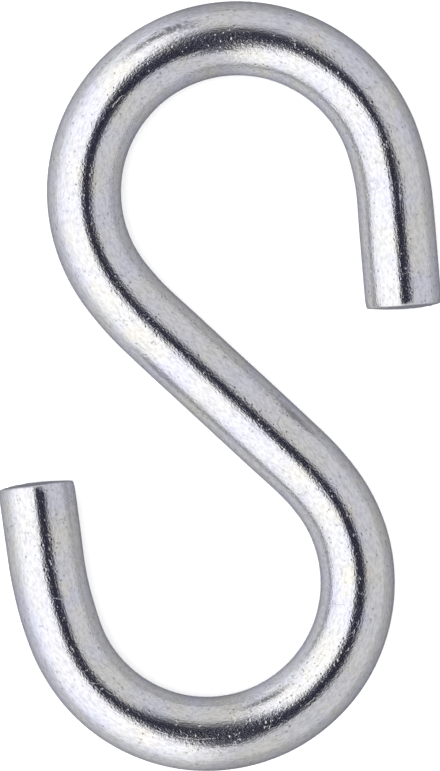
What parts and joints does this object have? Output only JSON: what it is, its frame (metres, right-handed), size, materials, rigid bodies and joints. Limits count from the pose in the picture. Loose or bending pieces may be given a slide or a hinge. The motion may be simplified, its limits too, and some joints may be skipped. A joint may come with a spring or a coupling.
{
  "type": "s hook",
  "caption": "S hook of bent round steel wire, zinc plated: two open hooks on a sloping shank, with square-cut ends and rounded rims.",
  "frame": {"origin": "midway between the centres of the two bowls, on the surface the hook lies on", "axes": "+Y runs up the hook from the lower bowl to the upper one, +Z is square to the plane of the hook, and +X points to the side the upper hook's leg is on"},
  "size_m": [0.0368, 0.064, 0.0064],
  "materials": {
    "zinc_plate": "bright zinc plate, fine draw lines, satin"
  },
  "bodies": {
    "root": {"s_hook": "zinc_plate"}
  },
  "joints": []
}
